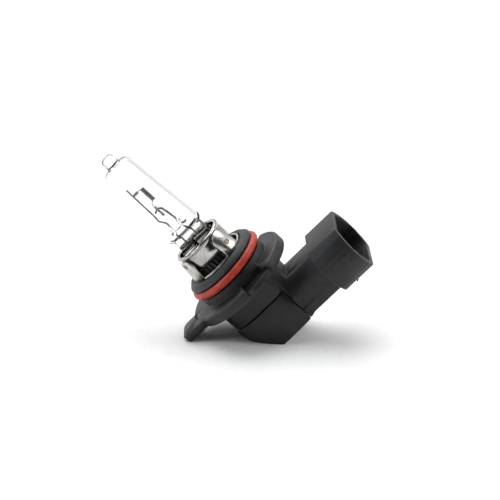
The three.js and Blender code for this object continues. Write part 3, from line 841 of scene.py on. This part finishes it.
# A dished plate in the collar, with a pair of folded fingers along each flat of the pinch.
def makeClamp(size):
    sheet, radius, plate = size["sheet"], size["radius"], size["plate"]
    cup = linkMesh("clamp_plate", turned([
        (radius - sheet, size["skirt"]),
        (radius, size["skirt"]),
        *arc(radius - 0.5, plate - 0.5, 0.5, 0, 90, 6),
        (0.05, plate),
        (0.05, plate - sheet),
        *arc(radius - 0.5, plate - 0.5, 0.1, 90, 0, 3),
    ], 96, closed=True))
    hole = linkMesh("hole", boxMesh(
        (-size["halfWidth"], -size["grip"], plate - 3), (size["halfWidth"], size["grip"], plate + 3),
    ))
    combine(cup, hole, "DIFFERENCE")
    settle(cup, steel, ["pinch_clamp"], sharpDegrees=35)
    for side in (-1, 1):
        for end in (-1, 1):
            makeFinger(size, side, end)


def makeFinger(size, side, end):
    sheet, grip, plate, top = size["sheet"], size["grip"], size["plate"], size["fingerTop"]
    middle = [(d, plate + up) for d, up in size["fingerFoot"]]
    middle += [(d, top - down) for d, down in size["fingerEnd"]]
    path = smoothPath([(0, d, z) for d, z in middle], 5)
    inner = size["slit"] / 2
    outer = size["halfWidth"] - size["fingerInset"]
    columns = 10
    bm = bmesh.new()
    grid = []
    for point in path:
        row = []
        for i in range(columns + 1):
            share = i / columns
            x = end * (inner + (outer - inner) * share)
            bow = size["fingerBow"] * math.sin(math.pi * share)  # the strip bellies out between its edges
            y = side * (grip + sheet / 2 + size["fingerGap"] + point.y + bow)
            row.append(bm.verts.new((x, y, point.z - size["fingerSag"] * share * share)))
        grid.append(row)
    for low, high in zip(grid, grid[1:]):
        for i in range(columns):
            bm.faces.new([low[i], low[i + 1], high[i + 1], high[i]])
    name = f"clamp_finger_{'near' if side < 0 else 'far'}_{'left' if end < 0 else 'right'}"
    finger = linkMesh(name, bm)
    shell = finger.modifiers.new("sheet", "SOLIDIFY")
    shell.thickness = sheet * size["fingerThinning"]
    shell.offset = 0
    applyModifiers(finger)
    bevelEdges(finger, 0.06, 2, 50)
    applyModifiers(finger)
    settle(finger, steel, sharpDegrees=50)


makeCollar(collarSize)
makeBaseRing()
makeWelds(weldSize)
makeDimple(dimpleSize)
makeClamp(clampSize)
print("metal base made")

# Sealing ring

sealSize = {"radius": 10.3, "section": 1.1, "flash": 0.05}


# A round section with a hair of mould flash at its widest.
def makeSeal(size):
    section = size["section"]
    profile = []
    steps = 40
    for i in range(steps):
        angle = 2 * math.pi * i / steps
        reach = section + (size["flash"] if i == 0 else 0)
        height = lampPose["sealHeight"] + reach * math.sin(angle)
        profile.append((size["radius"] + reach * math.cos(angle), height))
    settle(linkMesh("seal", turned(profile, 192, closed=True)), silicone, ["sealing_ring"])


makeSeal(sealSize)
print("sealing ring made")

# Mouldings and terminals


def makeMouldings():
    # The rounds of both mouldings take the paler finish last in the list, a painted edge highlight.
    housing = roundedCopy("socket_housing", 0.2, [nylon, paintedHighlightNylon])
    settle(housing, nylon, ["socket_housing"], inLamp=False)
    cover = roundedCopy("rear_cover", 0.12, [coverNylon, paintedHighlightNylon])
    settle(cover, coverNylon, ["rear_cover"], inLamp=False)


def makeTerminals():
    for side in ("near", "far"):
        strip = roundedCopy("terminal_" + side, 0.1, [tinnedBrass])
        settle(strip, tinnedBrass, ["terminal_" + side], inLamp=False)


# Pieces that keep their CAD shape and only take a finish.
def finishHiddenParts():
    for node in ("sealing_foil_long", "sealing_foil_short", "outer_lead_long", "outer_lead_short"):
        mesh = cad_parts[node].data
        mesh.materials.clear()
        mesh.materials.append(molybdenum)


makeMouldings()
makeTerminals()
finishHiddenParts()
print("mouldings made")

# Stage

stageLook = {
    "floor": "#f6f6f5", "fibre": "#f0f0ef", "fibreSize": 1.2, "halfSize": 4.0,
    "skyBack": "#ffffff", "skySide": "#a9abae", "skyFront": "#26282b", "skyStrength": 0.85,
    "skyReach": (-0.6, 0.95), "skyMiddle": 0.45,
}
# The key light is a very wide soft source high behind the left shoulder of the lamp: a sun lamp with a
# large angle, so that the floor is evenly lit. The soft boxes only add lit bands to the metal and the glass.
keyLight = {"azimuth": -28, "elevation": 62, "spread": 60, "strength": 2.4, "colour": "#ffffff"}
softBoxes = {
    "left": {"place": (-0.55, -0.12, 0.26), "size": 0.3, "power": 1.3, "colour": "#fbfcff"},
    "right": {"place": (0.6, 0.0, 0.42), "size": 0.45, "power": 2.8, "colour": "#ffffff"},
}


def makeFloor(look):
    bm = bmesh.new()
    bmesh.ops.create_grid(bm, x_segments=8, y_segments=8, size=look["halfSize"])
    floor = linkMesh("floor", bm)
    material, tree, shader = startMaterial("matt white card", Roughness=0.9, Specular_IOR_Level=0.2)
    fibre = addNode(
        tree, "ShaderNodeTexNoise", values={"Scale": 1 / look["fibreSize"], "Detail": 3},
        links={"Vector": millimetres(tree)},
    )
    colour = ramp(tree, fibre.outputs["Fac"], [(0.3, look["fibre"]), (0.7, look["floor"])])
    tree.links.new(colour, shader.inputs["Base Color"])
    floor.data.materials.append(material)


def makeWorld(look):
    world = bpy.data.worlds.new("studio")
    world.use_nodes = True
    tree = world.node_tree
    background = tree.nodes["Background"]
    background.inputs["Strength"].default_value = look["skyStrength"]
    direction = addNode(tree, "ShaderNodeTexCoord")
    split = addNode(tree, "ShaderNodeSeparateXYZ", links={"Vector": direction.outputs["Generated"]})
    # Bright low down behind, darker on the near side, as the unlit half of a studio is.
    shade = rangeOf(tree, split.outputs["Y"], 0, 1, *look["skyReach"])
    stops = [(0.0, look["skyFront"]), (look["skyMiddle"], look["skySide"]), (1.0, look["skyBack"])]
    colour = ramp(tree, shade, stops)
    tree.links.new(colour, background.inputs["Color"])
    scene.world = world


def addLight(name, kind, place, colour, power, **attributes):
    data = bpy.data.lights.new(name, kind)
    data.energy = power
    data.color = linear(colour)[:3]
    for attribute, value in attributes.items():
        setattr(data, attribute, value)
    light = bpy.data.objects.new(name, data)
    light.location = place
    light.rotation_mode = "QUATERNION"
    light.rotation_quaternion = (sealCentre - light.location).to_track_quat("-Z", "Y")
    scene.collection.objects.link(light)


def makeLights(key, boxes):
    azimuth, elevation = math.radians(key["azimuth"]), math.radians(key["elevation"])
    outward = Vector((
        math.sin(azimuth) * math.cos(elevation), math.cos(azimuth) * math.cos(elevation), math.sin(elevation),
    ))
    spread = math.radians(key["spread"])
    addLight("key", "SUN", sealCentre + outward, key["colour"], key["strength"], angle=spread)
    for name, box in boxes.items():
        addLight(name, "AREA", box["place"], box["colour"], box["power"], shape="SQUARE", size=box["size"])


makeFloor(stageLook)
makeWorld(stageLook)
makeLights(keyLight, softBoxes)
scene.view_settings.view_transform = "Standard"
print("stage made")

bpy.context.view_layer.update()
